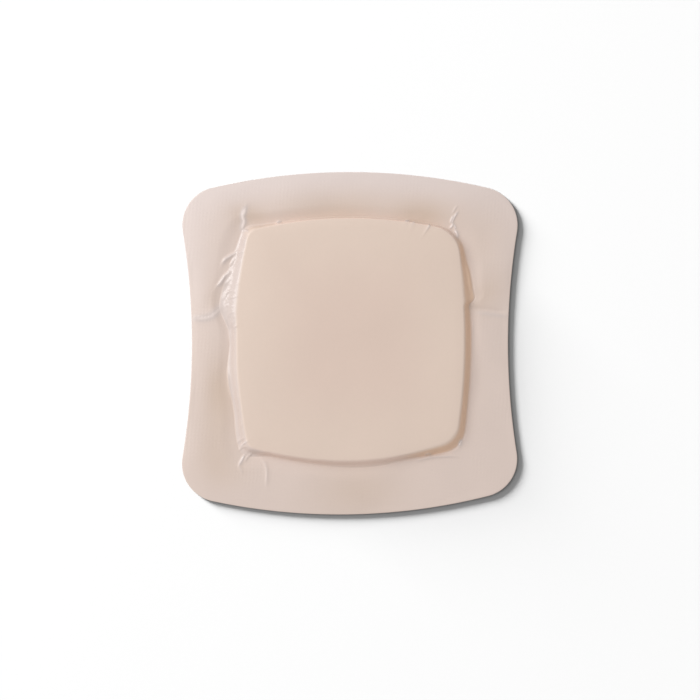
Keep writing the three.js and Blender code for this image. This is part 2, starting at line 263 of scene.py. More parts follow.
class DressingColours(bpy.types.PropertyGroup):
    """Colours of the three layers, as they look in plain light, with painted light and shade on the
    backing.
    """

    face: colour("Face", "Backing over the pad", (0.700, 0.548, 0.465))
    # Painted highlight: the backing is painted lighter in a band all round the edge of the face.
    edge: colour("Edge", "Backing near the edge of the pad", (0.725, 0.582, 0.492))
    # Painted warm shade: the walls that face away from the light are painted a warm tan.
    wall: colour("Wall", "Backing stretched down the side of the pad", (0.840, 0.590, 0.430))
    # Painted light: the lower and upper walls are painted lighter to lift their shade.
    wall_light: colour("Lower wall", "Side of the pad where light comes through it", (0.850, 0.665, 0.575))
    # Painted shade: the hollows of the border are painted darker.
    hollow_shade: colour("Valley", "Border where it is pressed thin", (0.625, 0.492, 0.405))
    border: colour("Border", "Outer border", (0.703, 0.579, 0.517))
    # Painted sheen: the border is painted paler and cooler towards the rim, along the top and the upper
    # left.
    rim: colour("Rim", "Outermost border along the top", (0.722, 0.618, 0.580))
    gathered: colour("Gathered film", "Film that has lifted off the foam", (0.648, 0.550, 0.508))
    # Painted glint: the sharp crests of the folds are painted near white.
    crest: colour("Crest", "Sharp crests of the film's folds", (0.875, 0.756, 0.706))
    foam: colour("Foam", "Absorbent pad", (0.800, 0.720, 0.620))
    adhesive: colour("Adhesive", "Contact layer", (0.800, 0.710, 0.630))


class DressingStage(bpy.types.PropertyGroup):
    """Floor, lamps and camera."""

    floor: colour("Floor", "Plain floor", (0.26, 0.26, 0.26))
    sky: number("Sky", "Strength of the even light from all round", 0.50)
    key: number("Key", "Strength of the soft key light", 2.36)
    floor_lamp: number("Floor lamp", "Strength of the low light that only reaches the floor", 51.0)
    view_width: length("View width", "Width of the picture at the dressing", 292.3 * MM)
    view_down: length("View shift", "How far the picture's middle lies below the dressing's", 2.8 * MM)


# Plan of the dressing. Plan points are complex numbers, x + y i, in metres.


CORNERS = (1 + 1j, -1 + 1j, -1 - 1j, 1 - 1j)


def crossing(first, first_radius, second, second_radius, near):
    """The point where two circles cross that lies nearest to a given one."""
    gap = abs(second - first)
    along = (first_radius**2 - second_radius**2 + gap**2) / (2 * gap)
    across = math.sqrt(max(0.0, first_radius**2 - along**2))
    heading = (second - first) / gap
    found = [first + heading * complex(along, side * across) for side in (-1, 1)]
    return min(found, key=lambda point: abs(point - near))


def on_circle(centre, radius, towards):
    """The point of a circle on the way from its centre to another point."""
    return centre + radius * (towards - centre) / abs(towards - centre)


def arc(centre, start, stop, steps=60):
    """Points along the shorter way round a centre, from start up to but not at stop."""
    swing = np.angle((stop - centre) / (start - centre))
    return centre + (start - centre) * np.exp(1j * swing * np.linspace(0, 1, steps, endpoint=False))


def arc_outline(sides, radii, near):
    """Four long arcs joined by round corners, anticlockwise from the right side.

    Each side is (centre, radius, hollow); a hollow side has its centre outside the outline.
    """
    middles = []
    for i in range(4):
        pair = sides[i], sides[(i + 1) % 4]
        reach = [radius + radii[i] * (1 if hollow else -1) for _, radius, hollow in pair]
        middles.append(crossing(pair[0][0], reach[0], pair[1][0], reach[1], near[i]))
    outline = []
    for i, (centre, radius, _) in enumerate(sides):
        start, stop = (on_circle(centre, radius, middles[k]) for k in (i - 1, i))
        outline.append(arc(centre, start, stop))
        beyond, beyond_radius, _ = sides[(i + 1) % 4]
        outline.append(arc(middles[i], stop, on_circle(beyond, beyond_radius, middles[i])))
    return np.concatenate(outline)


def rim_outline(plan):
    """Bowed ends, waisted sides and large round corners."""
    half_width, half_length, r = plan.width / 2, plan.height / 2, plan.corner_radius
    corner_x = half_width - r
    corner_y = half_length - plan.end_radius + math.sqrt((plan.end_radius - r) ** 2 - corner_x**2)
    pinch = plan.waist_pinch
    side_radius = ((r - pinch) ** 2 + corner_y**2 - r**2) / (2 * pinch)
    side_x = half_width - pinch + side_radius
    end_y = 1j * (half_length - plan.end_radius)
    aside = plan.end_radius * math.sin(math.radians(plan.lower_tilt))
    sides = [
        (complex(side_x), side_radius, True), (end_y, plan.end_radius, False),
        (complex(-side_x), side_radius, True), (-end_y - aside, plan.end_radius, False),
    ]
    near = [complex(c.real * corner_x, c.imag * corner_y) for c in CORNERS]
    return arc_outline(sides, [r] * 4, near)


def face_outline(plan):
    """A barrel with four bowed sides and four different corners."""
    middle = 1j * plan.face_shift
    half_width, half_length = plan.face_width / 2, plan.face_length / 2
    right, top, left, bottom = plan.face_radii
    aside = bottom * math.sin(math.radians(plan.lower_tilt))
    lower = middle - aside - 1j * (half_length - bottom)
    sides = [
        (middle + half_width - right, right, False), (middle + 1j * (half_length - top), top, False),
        (middle - half_width + left, left, False), (lower, bottom, False),
    ]
    near = [middle + complex(c.real * half_width, c.imag * half_length) for c in CORNERS]
    return arc_outline(sides, list(plan.face_corners), near)


def passing(before, here, after, beyond, t):
    """A smooth way from one value to the next, led by the values on both sides of them."""
    bend = 2 * before - 5 * here + 4 * after - beyond
    twist = -before + 3 * here - 3 * after + beyond
    return here + 0.5 * t * (after - before + t * (bend + t * twist))


def through_points(values, knots, at):
    """A smooth closed run through values at knots, both round a full turn in degrees."""
    knots, values, at = np.array(knots, float), np.array(values, float), np.mod(at, 360)
    count = len(knots)
    i = np.searchsorted(knots, at, side="right") - 1
    span = np.where(i + 1 < count, knots[(i + 1) % count], 360) - knots[i]
    around = [values[(i + k) % count] for k in (-1, 0, 1, 2)]
    return passing(*around, (at - knots[i]) / span)


class Plan:
    """Distances from the middle of the face to its edge, the foot of the wall and the rim."""

    def __init__(self, plan):
        self.middle = 1j * plan.face_shift
        self.outline = rim_outline(plan)
        rim, face = self.outline - self.middle, face_outline(plan) - self.middle
        self.rim_table = np.angle(rim), np.abs(rim)
        self.face_table = np.angle(face), np.abs(face)

    def rings(self, degrees):
        """Radius of the face edge, of the foot and of the rim at each angle."""
        angle = np.radians(degrees)
        edge = np.interp(angle, *self.face_table, period=2 * math.pi)
        rim = np.interp(angle, *self.rim_table, period=2 * math.pi)
        places, reach = zip(*SKIRT_REACH)
        foot = edge + through_points(reach, places, degrees) * MM
        return edge, foot, rim

    def at(self, degrees, radius):
        return self.middle + radius * np.exp(1j * np.radians(degrees))

    def spot(self, degrees, place):
        """Plan point of a place on the sheet: 0 face edge, 1 foot of the wall, 2 rim."""
        edge, foot, rim = self.rings(degrees)
        radius = mix(edge, foot, place) if place < 1 else mix(foot, rim, place - 1)
        return complex(self.at(degrees, radius))


# The backing sheet


# Where the columns of the sheet stand closer together: angle, half width in degrees, how much closer
CROWDED = ((148, 26, 2.2), (13, 10, 1.6), (47, 9, 2.0), (231, 15, 1.8), (308, 16, 0.8))
COLUMNS = 760
FACE_ROWS = 12
WALL_ROWS = 18
BORDER_ROWS = 46
RIM_ROWS = 4
UNDER_WALL_ROWS = 8
UNDER_FACE_ROWS = 4
FACE_ROW_BIAS = 0.8
BORDER_ROW_BIAS = 1.15

SOFT_EDGE_ANGLE = 130
CROWN_POWER = 7
FOLD_SHARPNESS = 2.2
FOLD_FADE = (-0.15, 0.3)
BORDER_UNEVENNESS = 0.09 * MM
BORDER_GRAIN = 0.012 * MM
FACE_UNEVENNESS = 0.02 * MM
WRINKLE_WIDTH = 0.45 * MM
WRINKLE_LEAN = -0.2
SWELL_WAVE = 0.14 * MM
SWELL_BIAS = 0.4 * MM
HOLLOW_DEPTH = 0.35 * MM
FOOT_RISE = 0.4 * MM


def column_angles(count, crowded):
    """Angles in degrees, closer together where the sheet is gathered."""
    fine = np.linspace(0, 360, 7201)
    density = np.ones_like(fine)
    for centre, half_width, extra in crowded:
        away = np.abs(from_angle(fine, centre))
        density += extra * (1 - smooth(away, half_width * 0.7, half_width * 1.3))
    total = np.concatenate([[0], np.cumsum((density[1:] + density[:-1]) / 2)])
    return np.interp(np.arange(count) / count * total[-1], total, fine)


def wall_curve(start, lean, top, end, bottom, t):
    """The turn from the face down to the border, as one cubic curve in section."""
    weights = (1 - t) ** 3, 3 * (1 - t) ** 2 * t, 3 * (1 - t) * t**2, t**3
    radius = sum(w * value for w, value in zip(weights, (start, lean, lean, end)))
    height = sum(w * value for w, value in zip(weights, (top, top, bottom, bottom)))
    return radius, height


def face_height(section, share, degrees=0.0):
    """The face is nearly level, and its upper left edge is rounded off more than the lower right one."""
    bias = 0.5 + 0.5 * np.cos(np.radians(degrees - SOFT_EDGE_ANGLE))
    return SHEET_HIGH.z - section.crown * mix(0.1, 1.0, bias) * share**CROWN_POWER


def pressed(degrees, place):
    """How deep the border's soft hollows of PRESSED are, from 0 to 1; the same share paints shade into
    them.
    """
    total = 0.0
    for centre, middle, half_angle, half_place, amount in PRESSED:
        across = np.exp(-(((place - middle) / half_place) ** 2))
        total = total + amount * about(degrees, centre, half_angle) * across
    return np.clip(total, 0, 1)


def border_height(section, share, degrees):
    """Low at the foot, a soft crown, a thin rim; the crown rises and falls a little on its way round."""
    turn = np.radians(degrees)
    wave = SWELL_WAVE * (np.sin(3 * turn + 0.7) + 0.6 * np.sin(7 * turn) + 0.35 * np.sin(13 * turn + 1.9))
    swell = section.swell + wave + SWELL_BIAS * np.cos(turn - math.radians(135))
    low = mix(foot_level(section, degrees), swell, smooth(share, 0, section.swell_place))
    falling = np.clip((share - section.swell_place) / (1 - section.swell_place), 0, 1) ** 2
    hollow = HOLLOW_DEPTH * pressed(degrees, 1 + share) * (1 - falling)
    return section.adhesive + mix(low - hollow, section.rim, falling)


def softening(degrees):
    """The face turns down softly at its lower right corner and its left side, and sharply along its top."""
    corner = about(degrees, 314, 15)
    top, left = about(degrees, 80, 45, power=4), about(degrees, 178, 45, power=4)
    return 1 + 0.9 * corner - 0.4 * top + 0.5 * left


def foot_level(section, degrees):
    """Height of the border at the foot of the wall: higher beside the widest of the gathered skirt."""
    return section.foot + FOOT_RISE * about(degrees, 158, 14)


def foot_groove(section, radius, foot, degrees):
    """The crisp line where the backing meets the border: deepest at the right and the bottom."""
    depth = 0.62 + 0.38 * np.cos(np.radians(degrees + 35))
    return -section.groove * depth * np.exp(-(((radius - foot) / section.groove_width) ** 2) * 4)


def upper_rows(plan, section, degrees):
    """Radius, height and place of every point of the upper side: one row for each ring, outwards."""
    edge, foot, rim = plan.rings(degrees)
    turn = edge - section.rounding * softening(degrees)
    rows = []
    for share in np.linspace(0, 1, FACE_ROWS, endpoint=False)[1:] ** FACE_ROW_BIAS:
        rows.append((share * turn, face_height(section, share, degrees), share - 1))
    top, bottom = face_height(section, 1, degrees), section.adhesive + foot_level(section, degrees)
    lean = mix(edge, foot, section.lean)
    for t in np.linspace(0, 1, WALL_ROWS):
        radius, height = wall_curve(turn, lean, top, foot, bottom, t)
        rows.append((radius, height + foot_groove(section, radius, foot, degrees), t))
    inner = rim - section.rim_rounding
    for share in np.linspace(0, 1, BORDER_ROWS)[1:] ** BORDER_ROW_BIAS:
        radius = mix(foot, inner, share)
        height = border_height(section, share, degrees) + foot_groove(section, radius, foot, degrees)
        rows.append((radius, height, 1 + share))
    for k in range(1, RIM_ROWS + 1):
        swing = math.pi / 2 * k / RIM_ROWS
        drop = section.rim_rounding * (1 - math.cos(swing))
        height = section.adhesive + section.rim - drop
        rows.append((inner + section.rim_rounding * math.sin(swing), height, 2.0))
    return rows


def lower_rows(plan, section, degrees):
    """The underside, from the rim back to near the middle. Under the border it lies on the adhesive."""
    edge, foot, rim = plan.rings(degrees)
    thick = section.backing
    turn = edge - section.rounding * softening(degrees) - thick
    rows = [(rim, section.adhesive, 2.0)]
    top = face_height(section, 1, degrees) - thick
    lean = mix(edge, foot, section.lean) - thick
    for t in np.linspace(1, 0, UNDER_WALL_ROWS):
        radius, height = wall_curve(turn, lean, top, foot - thick, section.adhesive, t)
        rows.append((radius, height, t))
    for share in np.linspace(1, 0, UNDER_FACE_ROWS, endpoint=False)[1:]:
        rows.append((share * turn, face_height(section, share, degrees) - thick, share - 1))
    return rows


def smooth_line(points, steps=8):
    """A smooth run through a few plan points."""
    points = [2 * points[0] - points[1], *points, 2 * points[-1] - points[-2]]
    shares = np.linspace(0, 1, steps, endpoint=False)
    legs = [passing(*four, shares) for four in zip(points, points[1:], points[2:], points[3:])]
    return np.append(np.concatenate(legs), points[-2])


def fold_field(points, line, width, lean):
    """A fold of unit height at plan points: a crest along a line, with one steep and one soft flank."""
    nearest = np.full(points.shape, np.inf)
    side = np.zeros(points.shape)
    run = np.zeros(points.shape)
    lengths = np.concatenate([[0], np.cumsum(np.abs(np.diff(line)))])
    for i, (start, stop) in enumerate(zip(line[:-1], line[1:])):
        leg = stop - start
        local = (points - start) * np.conj(leg) / abs(leg)
        along = np.clip(local.real, 0, abs(leg))
        away = np.abs(local - along)
        closer = away < nearest
        nearest = np.where(closer, away, nearest)
        side = np.where(closer, np.sign(local.imag), side)
        run = np.where(closer, (lengths[i] + along) / lengths[-1], run)
    flank = width * (1 + lean * side)
    crest = np.exp(1 - np.sqrt(1 + (FOLD_SHARPNESS * nearest / flank) ** 2))
    return crest * smooth(run, *FOLD_FADE) * smooth(1 - run, *FOLD_FADE)


def surface_normals(points):
    """Outward normals of a grid of points that closes round its second axis."""
    across = np.gradient(points, axis=0)
    around = np.roll(points, -1, axis=1) - np.roll(points, 1, axis=1)
    normal = np.cross(across, around)
    return normal / np.linalg.norm(normal, axis=2, keepdims=True)


def ring_grid(plan, rows, degrees):
    """Points of a grid whose rows are rings round the face, and the place of each point."""
    radius, height, place = (
        np.array([np.broadcast_to(row[i], degrees.shape) for row in rows], float) for i in range(3)
    )
    spot = plan.at(degrees, radius)
    return np.stack([spot.real, spot.imag, height], axis=2), place


def lifted(degrees, place):
    """How far the film has lifted off the foam: full in the gathered skirt at the left."""
    return stretches(degrees, LIFTED) * within(place, (0.0, 0.25), (0.96, 1.02))


def stretched(degrees, place):
    """How much painted warm shade the film gets down the side of the pad: full at the right, less along the
    bottom.
    """
    return stretches(from_angle(degrees), WALL_SHADE) * within(place, (0.05, 0.4), (0.92, 1.04))


def glowing(degrees, place):
    """How much painted light the side of the pad gets, along the bottom and the top."""
    return stretches(from_angle(degrees), WALL_LIGHT) * within(place, (-0.05, 0.3), (0.86, 1.0))


def bleached(degrees, place):
    """How much painted sheen, paler and cooler, the border gets towards the rim, all along the top and the
    upper left.
    """
    side = smooth(np.cos(np.radians(degrees - 98)), 0.1, 0.95)
    return side * smooth(place, 1.15, 2.0)


def border_texture(spot, place):
    """Slow unevenness of the border and of the face, in metres."""
    x, y = spot.real / MM, spot.imag / MM
    slow = np.sin(x / 6.1 + 0.7 * np.sin(y / 9.3)) * np.sin(y / 7.3 + 0.9 * np.sin(x / 11.0) + 1.0)
    fine = np.sin(x / 2.3 + np.sin(y / 3.1)) * np.sin(y / 2.9 + np.sin(x / 3.7))
    on_border = within(place, (1.02, 1.25), (1.85, 2.0))
    on_face = 1 - smooth(place, -0.25, 0.0)
    border = BORDER_UNEVENNESS * slow + BORDER_GRAIN * fine
    return on_border * border + on_face * FACE_UNEVENNESS * slow


def skirt_wrinkles(plan, points, seed=11, count=34):
    """Small wrinkles that fan across the gathered film, from a fixed seed."""
    draw = np.random.default_rng(seed)
    field = np.zeros(points.shape)
    for _ in range(count):
        degrees = draw.uniform(137, 178)
        place = draw.uniform(0.15, 0.75)
        start = plan.spot(degrees, place)
        heading = np.exp(1j * math.radians(draw.normal(48, 14)))
        span = draw.uniform(1.4, 3.6) * MM
        line = smooth_line([start, start + 0.5 * span * heading * np.exp(0.2j), start + span * heading])
        field += fold_field(points, line, WRINKLE_WIDTH, WRINKLE_LEAN) * draw.uniform(0.08, 0.2) * MM
    return field


def add_object(name, data):
    thing = bpy.data.objects.new(name, data)
    bpy.context.scene.collection.objects.link(thing)
    return thing


def closed_mesh(name, grid, middle, top, bottom, attributes):
    """A closed body from a grid of points, rows by columns, that runs from near the middle over the
    upper side to the rim and back underneath. A fan closes each end."""
    rows, columns, _ = grid.shape
    poles = [(middle.real, middle.imag, height) for height in (top, bottom)]
    vertices = np.concatenate([grid.reshape(-1, 3), poles])
    row, column = np.meshgrid(np.arange(rows - 1), np.arange(columns), indexing="ij")
    here, beside = row * columns + column, row * columns + (column + 1) % columns
    quads = np.stack([here, here + columns, beside + columns, beside], axis=2).reshape(-1, 4)
    ring = np.arange(columns)
    around = (ring + 1) % columns
    last = (rows - 1) * columns
    upper_fan = np.stack([np.full(columns, rows * columns), ring, around], axis=1)
    lower_fan = np.stack([np.full(columns, rows * columns + 1), last + around, last + ring], axis=1)
    mesh = bpy.data.meshes.new(name)
    mesh.from_pydata(vertices.tolist(), [], quads.tolist() + upper_fan.tolist() + lower_fan.tolist())
    mesh.update()
    mesh.polygons.foreach_set("use_smooth", np.ones(len(mesh.polygons), bool))
    for label, values in attributes.items():
        ends = values.reshape(-1)[[0, -1]]
        layer = mesh.attributes.new(label, "FLOAT", "POINT")
        layer.data.foreach_set("value", np.concatenate([values.reshape(-1), ends]).astype(np.float32))
    return add_object(name, mesh)


def make_backing(plan, section):
    degrees = column_angles(COLUMNS, CROWDED)
    upper, place = ring_grid(plan, upper_rows(plan, section, degrees), degrees)
    lower, under_place = ring_grid(plan, lower_rows(plan, section, degrees), degrees)
    around = np.broadcast_to(degrees, place.shape)
    spot = upper[:, :, 0] + 1j * upper[:, :, 1]
    gather = lifted(around, place)
    lift = border_texture(spot, place) + skirt_wrinkles(plan, spot) * gather
    for route, height, width, lean, pale in FOLDS:
        line = smooth_line([plan.spot(*station) for station in route])
        field = fold_field(spot, line, width * MM, lean)
        lift += height * MM * field
        # Above 1 this share paints a glint along the crest.
        gather = np.maximum(gather, pale * field)
    lift *= 1 - smooth(place, 1.93, 2.0)
    upper = upper + surface_normals(upper) * lift[:, :, None]
    # Masks of the colours: painted shade in the hollows, painted warm shade and painted light on the walls,
    # painted sheen towards the rim; the lift mask is a painted glint above 1.
    masks = {
        "gather": gather, "pressed": pressed(around, place), "stretched": stretched(around, place),
        "glowing": glowing(around, place), "bleached": bleached(around, place),
    }
    attributes = {"place": np.concatenate([place, under_place])}
    for name, values in masks.items():
        attributes[name] = np.concatenate([values, np.zeros_like(under_place)])
    top = face_height(section, 0)
    grid = np.concatenate([upper, lower])
    return closed_mesh("dressing_backing", grid, plan.middle, top, top - section.backing, attributes)


# The foam pad


PAD_COLUMNS = 240
PAD_FACE_ROWS = 30
PAD_EDGE_ROWS = 8
PAD_WALL_ROWS = 6
PAD_UNDER_ROWS = 24
PAD_UNEVENNESS = 0.025 * MM


def make_pad(plan, section):
    """Die-cut foam: a soft upper edge, a slightly crowned face and fine unevenness of its cells."""
    degrees = column_angles(PAD_COLUMNS, ())
    edge, _, _ = plan.rings(degrees)
    wall = edge - section.pad_inset
    turn = wall - section.pad_edge
    top = SHEET_HIGH.z - section.backing - section.bond_gap
    shoulder = top - section.crown
    low = shoulder - section.pad_edge
    rows = []
    for share in np.linspace(0, 1, PAD_FACE_ROWS, endpoint=False)[1:]:
        rows.append((share * turn, shoulder + section.crown * (1 - share**4), share))
    for swing in np.linspace(0, math.pi / 2, PAD_EDGE_ROWS + 1):
        height = shoulder - section.pad_edge * (1 - math.cos(swing))
        rows.append((turn + section.pad_edge * math.sin(swing), height, 1.0))
    for share in np.linspace(0, 1, PAD_WALL_ROWS)[1:]:
        rows.append((wall, mix(low, section.adhesive, share), 1.0))
    for share in np.linspace(1, 0, PAD_UNDER_ROWS, endpoint=False)[1:]:
        rows.append((share * wall, section.adhesive, 0.0))
    grid, place = ring_grid(plan, rows, degrees)
    x, y = grid[:, :, 0] / MM, grid[:, :, 1] / MM
    cells = PAD_UNEVENNESS * np.sin(x * 2.9 + np.sin(y * 1.7)) * np.sin(y * 3.1 + np.sin(x * 1.9))
    cells *= (grid[:, :, 2] > low) & (place < 1)
    grid = grid + surface_normals(grid) * cells[:, :, None]
    return closed_mesh("dressing_pad", grid, plan.middle, top, section.adhesive, {"place": place})


# Nodes


FLOAT, WHOLE, VECTOR = "NodeSocketFloat", "NodeSocketInt", "NodeSocketVector"
COLOUR, GEOMETRY, MATERIAL = "NodeSocketColor", "NodeSocketGeometry", "NodeSocketMaterial"


def new_group(name, inputs, outputs, kind="ShaderNodeTree"):
    """A node group with its named sockets, the values it is given and the results it takes."""
    tree = bpy.data.node_groups.new(name, kind)
    for label, socket_type, value in inputs:
        socket = tree.interface.new_socket(label, in_out="INPUT", socket_type=socket_type)
        if value is not None:
            socket.default_value = value
    for label, socket_type in outputs:
        tree.interface.new_socket(label, in_out="OUTPUT", socket_type=socket_type)
    return tree, tree.nodes.new("NodeGroupInput").outputs, tree.nodes.new("NodeGroupOutput").inputs


def feed(tree, entry, value):
    """Links a socket, or a list of them, to an entry, or sets a plain value on it."""
    if isinstance(value, list):
        for source in value:
            tree.links.new(source, entry)
    elif isinstance(value, bpy.types.NodeSocket):
        tree.links.new(value, entry)
    else:
        entry.default_value = value


def add_node(tree, kind, entries=(), **settings):
    """A node with its settings made and its entries fed, each by its name or its number."""
    node = tree.nodes.new(kind)
    for name, value in settings.items():
        setattr(node, name, value)
    for label, value in dict(entries).items():
        feed(tree, node.inputs[label], value)
    return node


def step(tree, kind, entries=(), output=0, **settings):
    """One result of a new node, by its name or its number."""
    return add_node(tree, kind, entries, **settings).outputs[output]


def maths(tree, operation, *values):
    return step(tree, "ShaderNodeMath", enumerate(values), operation=operation)


# The contact layer


HOLE_SIDES = 24
ROW_SHARE = math.sin(math.pi / 3)
WELD_DISTANCE = 0.001 * MM


def perforation_tree():
    """Geometry nodes that fill the rim's outline with staggered round holes inside a second outline."""
    tree, given, results = new_group(
        "perforated_layer",
        [
            ("Geometry", GEOMETRY, None), ("Pitch", FLOAT, 9.8 * MM), ("Hole diameter", FLOAT, 3 * MM),
            ("Thickness", FLOAT, 0.4 * MM), ("Columns", WHOLE, 11), ("Rows", WHOLE, 13),
            ("Hole sides", WHOLE, HOLE_SIDES), ("Middle", VECTOR, None), ("Finish", MATERIAL, None),
        ],
        [("Geometry", GEOMETRY)],
        kind="GeometryNodeTree",
    )

    # Split the two outlines: the rim, and the limit that the holes stay inside
    inner = step(tree, "GeometryNodeInputNamedAttribute", {"Name": "hole_limit"}, data_type="BOOLEAN")
    split = {"Geometry": given["Geometry"], "Selection": inner}
    outlines = add_node(tree, "GeometryNodeSeparateGeometry", split).outputs
    limit = step(tree, "GeometryNodeMeshToCurve", {"Mesh": outlines["Selection"]})
    limit_face = step(tree, "GeometryNodeFillCurve", {"Curve": limit})
    rim = step(tree, "GeometryNodeMeshToCurve", {"Mesh": outlines["Inverted"]})

    # Staggered grid of hole centres
    row_pitch = maths(tree, "MULTIPLY", given["Pitch"], ROW_SHARE)
    gaps = [maths(tree, "SUBTRACT", given[name], 1.0) for name in ("Columns", "Rows")]
    grid = step(tree, "GeometryNodeMeshGrid", {
        "Vertices X": given["Columns"], "Vertices Y": given["Rows"],
        "Size X": maths(tree, "MULTIPLY", gaps[0], given["Pitch"]),
        "Size Y": maths(tree, "MULTIPLY", gaps[1], row_pitch),
    })
    position = step(tree, "GeometryNodeInputPosition")
    y = step(tree, "ShaderNodeSeparateXYZ", {"Vector": position}, output="Y")
    odd = maths(tree, "FLOORED_MODULO", maths(tree, "ROUND", maths(tree, "DIVIDE", y, row_pitch)), 2.0)
    stagger = maths(tree, "MULTIPLY", maths(tree, "MULTIPLY", odd, given["Pitch"]), 0.5)
    offset = step(tree, "ShaderNodeCombineXYZ", {"X": stagger})
    shift = step(tree, "ShaderNodeVectorMath", {0: offset, 1: given["Middle"]}, operation="ADD")
    centres = step(tree, "GeometryNodeSetPosition", {"Geometry": grid, "Offset": shift})

    # Keep the centres that lie over the limit's face
    above = step(tree, "ShaderNodeVectorMath", {0: position, 1: (0, 0, 1)}, operation="ADD")
    downwards = {"Target Geometry": limit_face, "Source Position": above, "Ray Direction": (0, 0, -1)}
    inside = step(tree, "GeometryNodeRaycast", downwards, output="Is Hit")
    kept = step(tree, "GeometryNodeSeparateGeometry", {"Geometry": centres, "Selection": inside})

    # Cut the holes by filling between the circles and the rim
    radius = maths(tree, "MULTIPLY", given["Hole diameter"], 0.5)
    round_hole = {"Resolution": given["Hole sides"], "Radius": radius}
    circle = step(tree, "GeometryNodeCurvePrimitiveCircle", round_hole)
    holes = step(tree, "GeometryNodeInstanceOnPoints", {"Points": kept, "Instance": circle})
    loose = step(tree, "GeometryNodeRealizeInstances", {"Geometry": holes})
    curves = step(tree, "GeometryNodeJoinGeometry", {"Geometry": [rim, loose]})
    flat = step(tree, "GeometryNodeFillCurve", {"Curve": curves})

    # Give the layer its thickness, and close it below
    up = step(tree, "ShaderNodeCombineXYZ", {"Z": given["Thickness"]})
    raised = step(tree, "GeometryNodeExtrudeMesh", {"Individual": False, "Mesh": flat, "Offset": up})
    below = step(tree, "GeometryNodeFlipFaces", {"Mesh": flat})
    both = step(tree, "GeometryNodeJoinGeometry", {"Geometry": [raised, below]})
    merged = step(tree, "GeometryNodeMergeByDistance", {"Geometry": both, "Distance": WELD_DISTANCE})
    real = step(tree, "GeometryNodeRealizeInstances", {"Geometry": merged})
    finish = step(tree, "GeometryNodeSetMaterial", {"Geometry": real, "Material": given["Finish"]})
    feed(tree, results["Geometry"], finish)
    return tree


def loop_object(name, loops):
    """Closed edge loops in the plane z = 0; the second loop is marked as the limit of the holes."""
    vertices, edges, marks = [], [], []
    for index, loop in enumerate(loops):
        first = len(vertices)
        count = len(loop)
        vertices += [(point.real, point.imag, 0.0) for point in loop]
        edges += [(first + k, first + (k + 1) % count) for k in range(count)]
        marks += [index == 1] * count
    mesh = bpy.data.meshes.new(name)
    mesh.from_pydata(vertices, edges, [])
    mark = mesh.attributes.new("hole_limit", "BOOLEAN", "POINT")
    mark.data.foreach_set("value", marks)
    return add_object(name, mesh)


def make_contact_layer(plan, section, holes, finish):
    degrees = column_angles(COLUMNS, CROWDED)
    edge, _, rim = plan.rings(degrees)
    limit_degrees = column_angles(PAD_COLUMNS, ())
    limit = plan.rings(limit_degrees)[0] - holes.margin
    loops = [plan.at(degrees, rim), plan.at(limit_degrees, limit)]
    draft = loop_object("contact_layer_outline", loops)
    modifier = draft.modifiers.new("perforate", "NODES")
    modifier.node_group = perforation_tree()
    half = max(edge)
    values = {
        "Pitch": holes.pitch, "Hole diameter": holes.diameter, "Thickness": section.adhesive,
        "Columns": 2 * math.ceil(half / holes.pitch) + 1,
        "Rows": 2 * math.ceil(half / (holes.pitch * ROW_SHARE)) + 1,
        "Hole sides": HOLE_SIDES, "Middle": (plan.middle.real, plan.middle.imag, 0.0), "Finish": finish,
    }
    for item in modifier.node_group.interface.items_tree:
        if item.in_out == "INPUT" and item.name in values:
            modifier[item.identifier] = values[item.name]
    draft.update_tag()
    graph = bpy.context.evaluated_depsgraph_get()
    mesh = bpy.data.meshes.new_from_object(draft.evaluated_get(graph))
    mesh.name = "dressing_contact_layer"
    piece = add_object("dressing_contact_layer", mesh)
    bpy.data.objects.remove(draft)
    return piece


# Finishes. Scales of the patterns are per metre, reliefs in metres.


CLOUD_SCALE = 38
GRAIN_SCALE = 900
EMBOSS_SCALE = 210.0
EMBOSS_TURNS = (4, 94)
EMBOSS_PATCH_SCALE = 60
CELL_SCALE = 1400.0
CELL_SIZES = (1.0, 2.3)
CELL_RELIEF = 0.2 * MM
FILM_GRAIN_SCALE = 2600
FILM_WEAR_SCALE = 120
FILM_RELIEF = 0.05 * MM
FILM_ROUGHNESS = 0.40
FILM_WEAR = 0.12
FILM_GRAIN = 0.35
LIFTED_GLOSS = 0.2
FACE_EMBOSS = 0.12
RIPPLE_SCALE = 260
RIPPLE_RELIEF = 0.1 * MM
ADHESIVE_ROUGHNESS = 0.22
RIPPLE_ROUGHNESS = 0.25


def blend_colours(tree, share, first, second):
    return step(tree, "ShaderNodeMix", {0: share, 6: first, 7: second}, output=2, data_type="RGBA")


def noise(tree, vector, scale, detail=2.0, roughness=0.5):
    entries = {"Vector": vector, "Scale": scale, "Detail": detail, "Roughness": roughness}
    return step(tree, "ShaderNodeTexNoise", entries, output="Fac")


def ramp(tree, value, low, high):
    entries = {"Value": value, "From Min": low, "From Max": high}
    return step(tree, "ShaderNodeMapRange", entries, output="Result", interpolation_type="SMOOTHSTEP")


def mottle_group():
    """Slow, faint unevenness of a colour: a cloudy change of its lightness and a fine grain."""
    tree, given, results = new_group(
        "soft_mottle",
        [
            ("Vector", VECTOR, None), ("Colour", COLOUR, None),
            ("Cloud", FLOAT, 0.05), ("Grain", FLOAT, 0.03),
        ],
        [("Colour", COLOUR)],
    )
    cloud = maths(tree, "SUBTRACT", noise(tree, given["Vector"], CLOUD_SCALE, 3), 0.5)
    grain = maths(tree, "SUBTRACT", noise(tree, given["Vector"], GRAIN_SCALE, 2, 0.6), 0.5)
    fine = maths(tree, "MULTIPLY", grain, given["Grain"])
    lightness = maths(tree, "ADD", maths(tree, "MULTIPLY_ADD", cloud, given["Cloud"], fine), 1.0)
    entries = {0: given["Colour"], "Scale": lightness}
    feed(tree, results["Colour"], step(tree, "ShaderNodeVectorMath", entries, operation="SCALE"))


